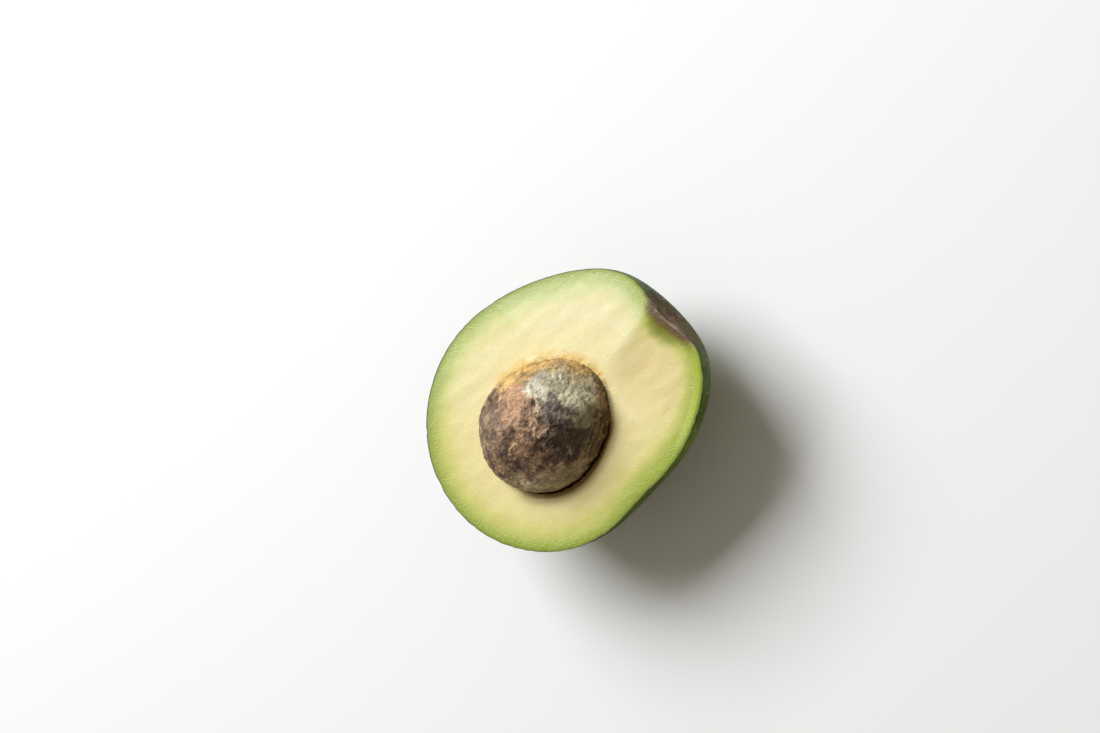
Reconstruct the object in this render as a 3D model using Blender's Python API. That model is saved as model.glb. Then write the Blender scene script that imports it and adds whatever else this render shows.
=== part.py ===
"""Half an avocado, cut lengthways, with its stone: the peel, the flesh and the stone.

Metres, +Z up. The half lies on its skin with the cut face level. +X points to the stem
end, +Y across the cut face and +Z out of it. The origin is the middle of the small flat
spot that the half rests on. Each piece is modelled about the middle of the cut face,
and an empty carries them all up to the height of that face.
"""

import math

import bmesh
import bpy
from mathutils import Matrix

# The whole fruit, before the cut: lengths in metres, angles in radians.
FRUIT_HALF_LENGTH = 0.0453
FRUIT_HALF_WIDTH = 0.0363
FRUIT_TAPER = 0.027  # share by which the blossom half is fuller than the stem half
FRUIT_LEAN = 0.0056  # share by which one shoulder is fuller than the other
DIMPLE_DEPTH = 0.0062
DIMPLE_SPREAD = math.radians(15.3)
DIMPLE_SIDE = math.radians(5)  # how far the stem's dimple sits off the +X axis
DIMPLE_DROP = math.radians(3)  # how far its middle lies under the cut face
FLAT_DEPTH = 0.0022  # a flat on the -Y side, as fruit that grew against another has
FLAT_SPREAD = math.radians(20)
FLAT_SIDE = math.radians(-82)  # where the flat sits, from the +X axis
FLAT_DROP = math.radians(7)
REST_FLATTENING = 0.0006  # how much of the belly the flat spot takes off

PEEL_THICKNESS = 0.0010

# The stone: an egg, sunk to its widest line in the flesh.
STONE_HALF_LENGTH = 0.0210
STONE_HALF_WIDTH = 0.01785
STONE_HALF_HEIGHT = 0.0162
STONE_TAPER = 0.024
STONE_X = -0.00625
STONE_Y = -0.00095
STONE_TURN = math.radians(3)
HOLLOW_CLEARANCE = 0.0005  # between the stone and its hollow in the flesh

# What keeps the faceted peel and flesh from touching.
PIECE_GAP = 0.0003

# Segments of the meshes: around the long axis, and from end to end.
FRUIT_AROUND = 48
FRUIT_ALONG = 28
STONE_AROUND = 32
STONE_ALONG = 20
PLANE_TOLERANCE = 1e-6

MATERIALS = {
    "avocado_peel": {"Base Color": (0.055, 0.115, 0.022, 1), "Roughness": 0.38, "Metallic": 0},
    "avocado_flesh": {"Base Color": (0.80, 0.74, 0.40, 1), "Roughness": 0.50, "Metallic": 0},
    "avocado_stone": {"Base Color": (0.20, 0.125, 0.085, 1), "Roughness": 0.62, "Metallic": 0},
}


def egg_radius(along, half_length, half_width, taper):
    """Radius of an egg at an angle from its long axis: an ellipse, fuller at the far end."""
    ellipse = 1 / math.hypot(math.cos(along) / half_length, math.sin(along) / half_width)
    return ellipse * (1 + taper * math.cos(3 * along))


def dip(direction, side, drop, depth, spread):
    """How deep a dip in the skin is along a unit vector. Its middle is that far round from the +X axis
    and that far under the cut face."""
    in_face = direction.x * math.cos(side) + direction.y * math.sin(side)
    facing = in_face * math.cos(drop) - direction.z * math.sin(drop)
    off = math.acos(max(-1, min(1, facing)))
    return depth * math.exp(-((off / spread) ** 2))


def fruit_radius(direction):
    """Distance from the fruit's middle to its skin along a unit vector."""
    along = math.acos(max(-1, min(1, direction.x)))
    egg = egg_radius(along, FRUIT_HALF_LENGTH, FRUIT_HALF_WIDTH, FRUIT_TAPER)
    lean = 1 - 2 * FRUIT_LEAN * direction.x * direction.y
    dimple = dip(direction, DIMPLE_SIDE, DIMPLE_DROP, DIMPLE_DEPTH, DIMPLE_SPREAD)
    return egg * lean - dimple - dip(direction, FLAT_SIDE, FLAT_DROP, FLAT_DEPTH, FLAT_SPREAD)


def belly_bottom():
    """Where the uncut belly hangs lowest: its place along X, and its depth under the middle."""
    steps = 720
    lowest_x = 0
    depth = 0
    for step in range(1, steps):
        along = math.pi * step / steps
        radius = egg_radius(along, FRUIT_HALF_LENGTH, FRUIT_HALF_WIDTH, FRUIT_TAPER)
        if radius * math.sin(along) > depth:
            lowest_x = radius * math.cos(along)
            depth = radius * math.sin(along)
    return lowest_x, depth


REST_X, BELLY_DEPTH = belly_bottom()
CUT_HEIGHT = BELLY_DEPTH - REST_FLATTENING


def unit_ball(around, along):
    """A closed ball of radius 1 whose poles lie on the X axis."""
    ball = bmesh.new()
    on_its_side = Matrix.Rotation(math.pi / 2, 4, "Y")
    bmesh.ops.create_uvsphere(
        ball, u_segments=around, v_segments=along, radius=1, matrix=on_its_side
    )
    return ball


def slice_off(solid, height, above):
    """Cuts a closed solid on a level plane, drops the part above or below it and caps the rest."""
    cut = bmesh.ops.bisect_plane(
        solid,
        geom=solid.verts[:] + solid.edges[:] + solid.faces[:],
        dist=PLANE_TOLERANCE,
        plane_co=(0, 0, height),
        plane_no=(0, 0, 1),
        clear_outer=above,
        clear_inner=not above,
    )
    rim = [item for item in cut["geom_cut"] if isinstance(item, bmesh.types.BMEdge)]
    bmesh.ops.holes_fill(solid, edges=rim, sides=0)


def fruit_solid(inset, halved):
    """The fruit drawn in by an inset all round, flattened below and, if halved, cut level."""
    fruit = unit_ball(FRUIT_AROUND, FRUIT_ALONG)
    for vert in fruit.verts:
        direction = vert.co.normalized()
        vert.co = direction * fruit_radius(direction)
    fruit.normal_update()
    inward = [(vert, vert.normal.copy()) for vert in fruit.verts]
    for vert, normal in inward:
        vert.co -= normal * inset
    slice_off(fruit, inset - CUT_HEIGHT, above=False)
    if halved:
        slice_off(fruit, 0, above=True)
    return fruit


def stone_solid(growth):
    """The stone about its own middle, grown by an amount all round."""
    stone = unit_ball(STONE_AROUND, STONE_ALONG)
    flattening = STONE_HALF_HEIGHT / STONE_HALF_WIDTH
    for vert in stone.verts:
        direction = vert.co.normalized()
        along = math.acos(max(-1, min(1, direction.x)))
        radius = egg_radius(along, STONE_HALF_LENGTH, STONE_HALF_WIDTH, STONE_TAPER)
        vert.co = direction * radius
        vert.co.z *= flattening
    stone.normal_update()
    outward = [(vert, vert.normal.copy()) for vert in stone.verts]
    for vert, normal in outward:
        vert.co += normal * growth
    return stone


def make_collection(name):
    """A collection of the scene for the fruit's pieces or for its cutters."""
    collection = bpy.data.collections.new(name)
    bpy.context.scene.collection.children.link(collection)
    return collection


def make_material(name):
    """A plain material of the piece's own colour and gloss."""
    material = bpy.data.materials.new(name)
    material.use_nodes = True
    shader = material.node_tree.nodes["Principled BSDF"]
    for socket, value in MATERIALS[name].items():
        shader.inputs[socket].default_value = value
    material.diffuse_color = MATERIALS[name]["Base Color"]
    return material


def make_object(name, solid, collection, middle):
    """An object made from a bmesh, which it frees, carried by the empty at the fruit's middle."""
    bmesh.ops.recalc_face_normals(solid, faces=solid.faces[:])
    mesh = bpy.data.meshes.new(name)
    solid.to_mesh(mesh)
    solid.free()
    mesh.shade_smooth()
    mesh.set_sharp_from_angle(angle=math.radians(40))
    piece = bpy.data.objects.new(name, mesh)
    collection.objects.link(piece)
    piece.parent = middle
    return piece


def make_cutter(name, solid, collection, middle):
    """A solid that only cuts others."""
    cutter = make_object(name, solid, collection, middle)
    cutter.hide_render = True
    cutter.display_type = "WIRE"
    return cutter


def cut_away(piece, cutter):
    """Takes a cutter out of a piece with a live Boolean."""
    boolean = piece.modifiers.new(cutter.name, "BOOLEAN")
    boolean.operation = "DIFFERENCE"
    boolean.solver = "EXACT"
    boolean.object = cutter


def place_stone(piece):
    """Lays the stone or its hollow where it sits in the cut face, its length nearly on the stem's."""
    piece.location = (STONE_X, STONE_Y, 0)
    piece.rotation_euler.z = STONE_TURN


def make_peel(pieces, cutters, middle):
    """The skin: a bowl of even thickness, open at the cut."""
    peel = make_object("peel", fruit_solid(0, halved=True), pieces, middle)
    inside = fruit_solid(PEEL_THICKNESS, halved=False)
    cut_away(peel, make_cutter("peel_inside", inside, cutters, middle))
    peel.data.materials.append(make_material("avocado_peel"))


def make_flesh(pieces, cutters, middle):
    """The flesh: it fills the peel up to the cut, with a hollow for the stone."""
    solid = fruit_solid(PEEL_THICKNESS + PIECE_GAP, halved=True)
    flesh = make_object("flesh", solid, pieces, middle)
    hollow = make_cutter("stone_hollow", stone_solid(HOLLOW_CLEARANCE), cutters, middle)
    place_stone(hollow)
    cut_away(flesh, hollow)
    flesh.data.materials.append(make_material("avocado_flesh"))


def make_stone(pieces, middle):
    """The stone, whose upper half stands out of the cut face."""
    stone = make_object("stone", stone_solid(0), pieces, middle)
    place_stone(stone)
    stone.data.materials.append(make_material("avocado_stone"))


def main():
    for leftover in list(bpy.data.objects):
        bpy.data.objects.remove(leftover)
    pieces = make_collection("avocado_half")
    cutters = make_collection("cutters")
    middle = bpy.data.objects.new("cut_face_middle", None)
    middle.location = (-REST_X, 0, CUT_HEIGHT)
    pieces.objects.link(middle)
    make_peel(pieces, cutters, middle)
    make_flesh(pieces, cutters, middle)
    make_stone(pieces, middle)


main()
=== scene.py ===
"""Half an avocado with its stone, finished in fine detail around its packed solids.

Metres, +Z up. The half lies on its skin: +X points to the stem end, +Y across the cut
face and +Z out of it. Directions around the fruit are given as a turn, the angle from
+X in the cut face, and distances from the fruit's middle, a point of the cut face.
"""

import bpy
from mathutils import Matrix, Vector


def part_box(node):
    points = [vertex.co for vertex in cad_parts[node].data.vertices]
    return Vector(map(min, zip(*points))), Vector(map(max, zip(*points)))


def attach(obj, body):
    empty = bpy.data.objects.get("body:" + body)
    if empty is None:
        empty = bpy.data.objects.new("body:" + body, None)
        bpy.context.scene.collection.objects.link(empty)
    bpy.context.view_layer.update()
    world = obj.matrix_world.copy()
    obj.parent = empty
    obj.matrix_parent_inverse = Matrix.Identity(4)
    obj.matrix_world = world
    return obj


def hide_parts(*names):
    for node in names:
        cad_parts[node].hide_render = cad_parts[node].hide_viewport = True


bl_info = {
    "name": "Avocado Half",
    "version": (1, 0, 0),
    "blender": (4, 5, 0),
    "location": "3D View > Sidebar > Avocado",
    "description": "Models the peel, flesh and stone of half an avocado around its packed solids",
    "category": "Add Mesh",
}

import math
from functools import cache, partial
from types import SimpleNamespace
from typing import NamedTuple

import bmesh
import bpy
from bpy.props import FloatProperty, FloatVectorProperty, PointerProperty
from mathutils import Matrix, Vector, noise

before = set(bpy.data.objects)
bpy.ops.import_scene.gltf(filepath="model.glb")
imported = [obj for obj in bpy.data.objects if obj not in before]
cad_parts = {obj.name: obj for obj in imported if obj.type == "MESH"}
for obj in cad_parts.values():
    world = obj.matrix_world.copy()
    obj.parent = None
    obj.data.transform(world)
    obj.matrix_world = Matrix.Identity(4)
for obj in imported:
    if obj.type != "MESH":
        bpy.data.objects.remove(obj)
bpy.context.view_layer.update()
CUT_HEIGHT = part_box("flesh")[1].z
MM = 0.001

# Mesh resolution: points round each piece, and rings from one end of it to the other.
PEEL_POINTS = 448
SKIN_RINGS = 140
FLESH_POINTS = 560
FACE_RINGS = 70
STONE_POINTS = 400
STONE_RINGS = 220
# The rings of the other surfaces: how many degrees under the cut face each leads down from the middle,
# and for the peel's cut edge the share of its width.
RIM_RINGS = (0.12, 0.3, 0.5, 0.75, 1.0)
PEEL_INSIDE_RINGS = (2, 5, 10, 20, 30, 40, 50, 60, 70, 80, 87)
HOLLOW_BOTTOM = 86
HOLLOW_RINGS = (78, 68, 58, 48, 38, 30, 23, 17, 12, 8, 5, 3)
FLESH_SIDE_RINGS = (1.5, 4, 9, 16, 24, 32, 40, 50, 60, 70, 80, 87)
PLANE_TOLERANCE = 1e-6

# Sockets of the Mix node when it blends colours.
MIX_FIRST = 6
MIX_SECOND = 7
MIX_RESULT = 2


def linear(hex_colour):
    """Turns an sRGB hex colour into linear red, green, blue and alpha."""
    channels = [int(hex_colour[start : start + 2], 16) / 255 for start in (1, 3, 5)]
    straight = [c / 12.92 if c <= 0.04045 else ((c + 0.055) / 1.055) ** 2.4 for c in channels]
    return (*straight, 1)


def length(name, millimetres, description):
    """A length that the sidebar shows in the scene's unit."""
    return FloatProperty(
        name=name, description=description, default=millimetres * MM, unit="LENGTH", precision=5
    )


def angle(name, degrees, description):
    """An angle that the sidebar shows in degrees."""
    return FloatProperty(
        name=name, description=description, default=math.radians(degrees), subtype="ANGLE"
    )


def number(name, default, description):
    """A share or a strength, with no unit."""
    return FloatProperty(name=name, description=description, default=default, precision=3)


def colour(name, hex_colour, description):
    """A colour given as sRGB hex and kept as linear."""
    return FloatVectorProperty(
        name=name,
        description=description,
        default=linear(hex_colour),
        subtype="COLOR",
        size=4,
        min=0,
        max=1,
    )


class AvocadoFruit(bpy.types.PropertyGroup):
    """Shape of the whole fruit before it was cut, and of its skin"""

    half_length: length("Half length", 45.25, "From the middle to the stem end, but for its dimple")
    half_width: length("Half width", 36.25, "From the middle to the skin, across the fruit")
    taper: number("Taper", 0.027, "Share by which the blossom half is fuller than the stem half")
    lean: number("Lean", 0.0056, "Share by which one shoulder is fuller than the other")
    dimple_depth: length("Dimple depth", 6.2, "Depth of the dimple that the stem grew from")
    dimple_spread: angle("Dimple spread", 15.3, "Angle from the dimple's middle to its shoulder")
    dimple_side: angle("Dimple side", 5, "How far the dimple sits off the long axis")
    dimple_drop: angle("Dimple drop", 3, "How far the dimple's middle lies under the cut face")
    cork_side: angle("Cork side", 0.5, "How far the cork's middle sits off the long axis")
    flat_depth: length("Flat depth", 2.2, "Depth of the flat where it grew against another fruit")
    flat_spread: angle("Flat spread", 20, "Angle from the flat's middle to its border")
    flat_side: angle("Flat side", -82, "Where the flat sits, from the stem")
    flat_drop: angle("Flat drop", 7, "How far the flat's middle lies under the cut face")
    middle_x: length("Middle", 4.317, "How far the middle lies past the spot that the half rests on")
    peel: length("Peel thickness", 0.9, "Thickness of the peel at the cut")
    dent_depth: length("Dent depth", 0.20, "Depth of the broad dents of the skin")
    dent_width: length("Dent width", 15, "Width of the broad dents of the skin")
    pebble_depth: length("Pebble depth", 0.07, "Depth of the skin's fine pebbling")
    pebble_width: length("Pebble width", 1.1, "Width of one pebble of the skin")
    cork_reach: length("Cork reach", 13, "How far the corky skin reaches from the stem")


class AvocadoStone(bpy.types.PropertyGroup):
    """Shape and place of the stone, and of the hollow that it sits in"""

    half_length: length("Half length", 20.95, "From the stone's middle to its ends")
    half_width: length("Half width", 17.8, "From the stone's middle to its sides")
    half_height: length("Half height", 16.15, "From the stone's middle to its top")
    taper: number("Taper", 0.024, "Share by which the stem end is drawn out")
    x: length("X", -6.25, "Place of the stone's middle from the fruit's")
    y: length("Y", -0.95, "Place of the stone's middle from the fruit's")
    turn: angle("Turn", 3, "Angle of the stone's long axis from the stem's")
    gap_tight: length("Tight gap", 0.1, "Gap to the flesh on the side where the coat still clings")
    gap_loose: length("Loose gap", 0.6, "Gap to the flesh on the side where it has shrunk away")
    wrinkle_depth: length("Wrinkle depth", 0.30, "Depth of the seed coat's wrinkles")


class AvocadoColours(bpy.types.PropertyGroup):
    """Colours of the skin, the flesh and the seed coat"""

    skin: colour("Skin", "#48580c", "The skin's mid green")
    skin_deep: colour("Deep skin", "#2b380b", "The darkest green of the skin")
    skin_light: colour("Light skin", "#6a7e1a", "The lightest green of the skin")
    speck: colour("Speck", "#a9af48", "The pale breathing pores that dot the skin")
    cork: colour("Cork", "#68543f", "Corky skin round the stem")
    cork_deep: colour("Deep cork", "#4d3a35", "The purple brown of the cork's hollows")
    cork_light: colour("Light cork", "#927d66", "The tan of the cork's ridges")
    cork_green: colour("Green cork", "#5a5a30", "Where the skin's green shows through the cork")
    rim: colour("Rim", "#4c5a1c", "The dark line of the skin at the cut")
    rim_middle: colour("Middle of the rim", "#7a8634", "The peel's cut edge inside its dark line")
    rim_inner: colour("Inner rim", "#94a344", "The peel's cut edge where it meets the flesh")
    # Partly painted sheen: these streaks gather on the side toward the main light.
    pale: colour("Pale flesh", "#ede4b4", "The flesh's lightest streaks")
    beige: colour("Beige flesh", "#ddc990", "The flesh's duller, drier part")
    full: colour("Full green flesh", "#9dab36", "The green under the peel where it is strongest")
    olive: colour("Olive flesh", "#7c7d1e", "The flesh under the stem")
    # Partly painted shade: this purple brown also stands in for the shade in the notch by the stem.
    bruise_and_shade: colour("Bruised flesh", "#6d5343", "The purple brown flesh under the cork")
    film: colour("Golden film", "#dcb45a", "Film of flesh and coat along the stone's edge")
    # Partly painted shade: besides the coat's real stain, this brown darkens the flesh beside the
    # stone's loose gap and down the hollow's wall.
    stain_and_shade: colour("Stain", "#8a6a30", "The brown that the seed coat leaves on the flesh")
    coat: colour("Seed coat", "#6e5139", "The stone's brown papery coat")
    coat_deep: colour("Deep coat", "#3a2a20", "The coat's dark blotches")
    coat_mid: colour("Mid coat", "#927253", "The coat's darker tan")
    coat_light: colour("Light coat", "#ae9070", "The coat's lighter tan")
    coat_pale: colour("Pale coat", "#cfc0a4", "The welts and flecks where the coat has split")


class AvocadoStage(bpy.types.PropertyGroup):
    """Camera, lights and floor"""

    lens: number("Lens", 85, "Focal length in millimetres")
    distance: length("Distance", 718.7, "From the camera to the plane of the cut face")
    tilt: angle("Tilt", 26, "Angle of the view off the cut face's normal")
    view_turn: angle("View turn", -32, "Side of the fruit, from the stem, that the camera leans to")
    roll: angle("Roll", -4, "Turn of the camera about its own axis")
    aim_x: length("Aim X", 4.35, "Where the view meets the cut face, from the fruit's middle")
    aim_y: length("Aim Y", 11.3, "Where the view meets the cut face, from the fruit's middle")
    key_turn: angle("Key turn", 98, "Direction that the main light comes from")
    key_rise: angle("Key rise", 46, "Height of the main light over the floor")
    key_distance: length("Key distance", 1600, "Distance of the main light")
    key_size: length("Key size", 1050, "Width of the main light")
    key_power: number("Key power", 36, "Power of the main light in watts")
    key_tint: colour("Key tint", "#f8fbff", "Colour of the main light")
    fill: number("Fill", 0.24, "Strength of the light from all round")
    fill_tint: colour("Fill tint", "#fff3de", "Colour of the light from all round")
    floor: colour("Floor", "#eeeeee", "The plain floor")


GROUPS = {
    "avocado_fruit": AvocadoFruit,
    "avocado_stone": AvocadoStone,
    "avocado_colours": AvocadoColours,
    "avocado_stage": AvocadoStage,
}


def settings(group):
    """The values of one of the scene's property groups, as plain Python values."""
    properties = getattr(bpy.context.scene, group)
    values = {}
    for name in GROUPS[group].__annotations__:
        value = getattr(properties, name)
        values[name] = tuple(value) if hasattr(value, "__len__") else value
    return SimpleNamespace(**values)


def smooth_step(low, high, value):
    """0 up to low, 1 from high, and a soft rise between them; low may be the greater."""
    share = max(0.0, min(1.0, (value - low) / (high - low)))
    return share * share * (3 - 2 * share)


class Relief(NamedTuple):
    """Bumps of a surface: their depth, their width, and the seed that gives them their own noise.
    The depth is a length, or a plain share where the bumps fade something else."""

    depth: float
    width: float
    seed: int

    def ripple(self, point):
        """Smooth noise from -1 to 1 with bumps about a width across."""
        seed_shift = Vector((self.seed, 2.3 * self.seed, -1.7 * self.seed))
        return noise.noise(point / self.width + seed_shift)

    def waves(self, point):
        """From minus to plus the depth."""
        return self.depth * self.ripple(point)

    def hollows(self, point):
        """From 0 to the depth."""
        return self.depth * (0.5 + 0.5 * self.ripple(point))

    def creases(self, point):
        """The depth along thin wandering lines about a width apart, and 0 between them."""
        return self.depth * max(0.0, 1 - 6 * abs(self.ripple(point)))

    def pits(self, point, least):
        """Scattered pits, only where the noise is over its least value."""
        return self.depth * max(0, self.ripple(point) - least)


# The fruit's shape.


def egg_radius(along, half_length, half_width, taper):
    """Radius of an egg at an angle from its long axis."""
    ellipse = 1 / math.hypot(math.cos(along) / half_length, math.sin(along) / half_width)
    return ellipse * (1 + taper * math.cos(3 * along))


def dip(direction, middle, depth, spread):
    """How deep a dip in the skin is along a unit vector, for a dip whose middle lies along another."""
    off = math.acos(max(-1, min(1, direction.dot(middle))))
    return depth * math.exp(-((off / spread) ** 2))


def fruit_radius(direction, fruit):
    """Distance from the fruit's middle to its smooth skin along a unit vector."""
    along = math.acos(max(-1, min(1, direction.x)))
    egg = egg_radius(along, fruit.half_length, fruit.half_width, fruit.taper)
    lean = 1 - 2 * fruit.lean * direction.x * direction.y
    dimple = below_face(fruit.dimple_side, fruit.dimple_drop)
    flat = below_face(fruit.flat_side, fruit.flat_drop)
    dimpled = egg * lean - dip(direction, dimple, fruit.dimple_depth, fruit.dimple_spread)
    return dimpled - dip(direction, flat, fruit.flat_depth, fruit.flat_spread)


def face_direction(turn):
    """The unit vector in the cut face at a turn from the stem."""
    return Vector((math.cos(turn), math.sin(turn), 0))


def below_face(turn, steepness):
    """The unit vector at a turn from the stem that leads that steeply down from the cut face."""
    return face_direction(turn) * math.cos(steepness) - Vector((0, 0, math.sin(steepness)))


def stem_point(fruit):
    """The middle of the cork, in the dimple that the stem grew from."""
    direction = below_face(fruit.cork_side, fruit.dimple_drop)
    return direction * fruit_radius(direction, fruit)


# The cork's lumps and creases, and the nicks that the knife left in the skin's edge.
CORK_LUMPS = Relief(0.35 * MM, 1.7 * MM, 3)
CORK_CREASES = Relief(0.25 * MM, 3.5 * MM, 4)
CUT_NICKS = Relief(0.35 * MM, 2.2 * MM, 5)
NICK_REACH = 0.7 * MM
# The cork is at its thickest within this share of its reach.
CORK_HEART = 0.3
# The dents' mean depth, as a share of their greatest.
MEAN_DENT = 0.6


def skin_point(direction, fruit):
    """A point of the skin: the smooth fruit less its dents, pebbles, cork and the cut's nicks."""
    radius = fruit_radius(direction, fruit)
    smooth = direction * radius
    dent = Relief(fruit.dent_depth, fruit.dent_width, 1).hollows(smooth)
    pebble = Relief(fruit.pebble_depth, fruit.pebble_width, 2).hollows(smooth)
    off_stem = (smooth - stem_point(fruit)).length
    corkiness = smooth_step(fruit.cork_reach, CORK_HEART * fruit.cork_reach, off_stem)
    cork = CORK_LUMPS.hollows(smooth) + CORK_CREASES.creases(smooth)
    at_cut = smooth_step(NICK_REACH, 0, -smooth.z)
    nick = CUT_NICKS.pits(smooth, 0.05)
    return direction * (radius - dent - pebble - corkiness * cork - at_cut * nick)


def peel_inside(direction, fruit):
    """A point of the line or surface where the peel ends and the flesh begins."""
    return direction * (fruit_radius(direction, fruit) - fruit.dent_depth * MEAN_DENT - fruit.peel)


# Loops of edges that grow into surfaces.


def new_edges_of(made):
    """The free edges of what an extrusion of edges made."""
    verts = {item for item in made if isinstance(item, bmesh.types.BMVert)}
    edges = (item for item in made if isinstance(item, bmesh.types.BMEdge))
    return [edge for edge in edges if edge.verts[0] in verts and edge.verts[1] in verts]


def grow_rings(solid, loop, turn_layer, steps, place, step_layer=None):
    """Grows a surface out of a closed loop of edges, a ring for each step, with its points where
    place(turn, step) says, and returns the last loop. A step layer keeps each point's step."""
    for step in steps:
        made = bmesh.ops.extrude_edge_only(solid, edges=loop)["geom"]
        for item in made:
            if isinstance(item, bmesh.types.BMVert):
                item.co = place(item[turn_layer], step)
                if step_layer:
                    item[step_layer] = step
        loop = new_edges_of(made)
    return loop


def sharpen(loop):
    """Keeps the shading of the surfaces on the two sides of a loop of edges apart."""
    for edge in loop:
        edge.smooth = False


def make_piece(name, solid, node, materials):
    """Makes the finished object of a piece, which takes the place of its packed solid."""
    bmesh.ops.translate(solid, verts=solid.verts[:], vec=fruit_middle())
    mesh = bpy.data.meshes.new(name)
    solid.to_mesh(mesh)
    solid.free()
    mesh.shade_smooth()
    for material in materials:
        mesh.materials.append(material)
    piece = bpy.data.objects.new(name, mesh)
    bpy.context.scene.collection.objects.link(piece)
    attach(piece, "root")
    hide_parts(node)


def fruit_middle():
    """The fruit's middle, on the cut face."""
    return Vector((settings("avocado_fruit").middle_x, 0, CUT_HEIGHT))


# The peel.

# The knife drags the skin's edge down a little: how far on the whole, and how unevenly.
DRAG = 0.12 * MM
DRAG_RELIEF = Relief(0.10 * MM, 1.1 * MM, 6)


def peel_mesh(fruit):
    """A bowl of skin with its cut rim and its inner side, about the fruit's middle."""
    solid = bmesh.new()
    bmesh.ops.create_uvsphere(solid, u_segments=PEEL_POINTS, v_segments=2 * SKIN_RINGS, radius=1)
    bmesh.ops.bisect_plane(
        solid,
        geom=solid.verts[:] + solid.edges[:] + solid.faces[:],
        dist=PLANE_TOLERANCE,
        plane_co=(0, 0, 0),
        plane_no=(0, 0, 1),
        clear_outer=True,
    )
    turn_layer = solid.verts.layers.float.new("turn")
    depth_layer = solid.verts.layers.float.new("rim_depth")
    for vert in solid.verts:
        vert[turn_layer] = math.atan2(vert.co.y, vert.co.x)
        vert.co = skin_point(vert.co.normalized(), fruit)
        vert.co.z = max(vert.co.z, -CUT_HEIGHT)
    loop = [edge for edge in solid.edges if edge.is_boundary]
    sharpen(loop)
    skin = set(solid.faces)

    def rim_place(turn, share):
        direction = face_direction(turn)
        point = skin_point(direction, fruit).lerp(peel_inside(direction, fruit), share)
        drag = (1 - share) * (DRAG + DRAG_RELIEF.waves(point))
        return point - Vector((0, 0, drag))

    def inner_place(turn, steepness):
        point = peel_inside(below_face(turn, math.radians(steepness)), fruit)
        point.z = max(point.z, fruit.peel - CUT_HEIGHT)
        return point

    loop = grow_rings(solid, loop, turn_layer, RIM_RINGS, rim_place, depth_layer)
    sharpen(loop)
    loop = grow_rings(solid, loop, turn_layer, PEEL_INSIDE_RINGS, inner_place)
    bmesh.ops.holes_fill(solid, edges=loop, sides=0)
    for face in solid.faces:
        if face not in skin:
            face.material_index = 1
    bmesh.ops.recalc_face_normals(solid, faces=solid.faces[:])
    return solid


# The stone.

# Flats of the stone: the turn and rise of each one's middle in degrees, and how deep it is cut.
STONE_FLATS = (
    (104, 50, 0.9 * MM),
    (10, 38, 0.8 * MM),
    (-58, 34, 0.8 * MM),
    (-134, 46, 0.8 * MM),
    (150, 20, 0.4 * MM),
    (60, -35, 0.5 * MM),
    (-100, -30, 0.5 * MM),
    (180, -40, 0.4 * MM),
)
# How far a flat's border is rounded.
FLAT_ROUNDING = 0.8 * MM
# Welts where the coat has split and healed: the places that each runs through, in the stone's frame.
STONE_WELTS = (
    ((8.2, 9.5, 12.6), (7.8, 2.3, 14.9), (5.2, -1.5, 15.6), (3.4, -6.0, 15.0)),
    ((7.6, 1.0, 15.0), (13.8, -0.8, 12.2), (14.1, -6.3, 10.6), (14.5, -11.3, 6.6)),
)
WELT_HALF_WIDTH = 0.6 * MM
WELTS_LOWEST = 4 * MM
# How far the welts wander from those places, how wide their bends are, and what breaks them up. Blender
# seeds the vector noise of the bends from the clock, so they differ a little from run to run.
WELT_WANDER = 0.9 * MM
WELT_BEND = 2.5 * MM
WELT_BREAKS = Relief(1, 3 * MM, 18)
# The rest of the seed coat's relief.
COAT_LUMPS = Relief(0.25 * MM, 6 * MM, 11)
COAT_FOLDS = Relief(0.16 * MM, 1.2 * MM, 16)
COAT_CRUMPLES = Relief(0.40 * MM, 2.6 * MM, 14)
COAT_FINE_CRUMPLES = Relief(0.30 * MM, 1.3 * MM, 17)
COAT_PITS = Relief(0.25 * MM, 0.9 * MM, 15)
WRINKLE_SPACING = 3.6 * MM
WRINKLE_FADE = Relief(1, 7 * MM, 13)
# How far the coat's mean surface lies under the smooth stone, besides its relief.
COAT_SINK = 0.10 * MM


def stone_middle(stone):
    """The stone's middle, from the fruit's."""
    return Vector((stone.x, stone.y, 0))


def stone_radius(direction, stone):
    """Radius of the smooth stone along a unit vector in its own frame."""
    squash = stone.half_height / stone.half_width
    upright = Vector((direction.x, direction.y, direction.z / squash))
    along = math.acos(max(-1, min(1, upright.normalized().x)))
    radius = egg_radius(along, stone.half_length, stone.half_width, stone.taper)
    return radius / upright.length


def flat_planes(stone):
    """Each flat of the stone as its direction and its distance from the stone's middle."""
    planes = []
    for turn, rise, depth in STONE_FLATS:
        direction = below_face(math.radians(turn), -math.radians(rise))
        planes.append((direction, stone_radius(direction, stone) - depth))
    return planes


def soft_least(first, second, rounding):
    """The lesser of two lengths, with a rounded change from one to the other."""
    share = max(0, min(1, 0.5 + 0.5 * (second - first) / rounding))
    return second * (1 - share) + first * share - rounding * share * (1 - share)


def welt_share(point):
    """1 on a welt of the stone, fading to 0 within a millimetre or so of it."""
    if point.z < WELTS_LOWEST:
        return 0
    wandered = point + WELT_WANDER * noise.noise_vector(point / WELT_BEND)
    nearest = 1
    for welt in STONE_WELTS:
        for start, end in zip(welt, welt[1:]):
            start = Vector(start) * MM
            run = Vector(end) * MM - start
            share = max(0, min(1, (wandered - start).dot(run) / run.length_squared))
            nearest = min(nearest, (wandered - start - run * share).length)
    unbroken = smooth_step(-0.3, 0.3, WELT_BREAKS.ripple(point))
    return math.exp(-((nearest / WELT_HALF_WIDTH) ** 2)) * unbroken


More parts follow.
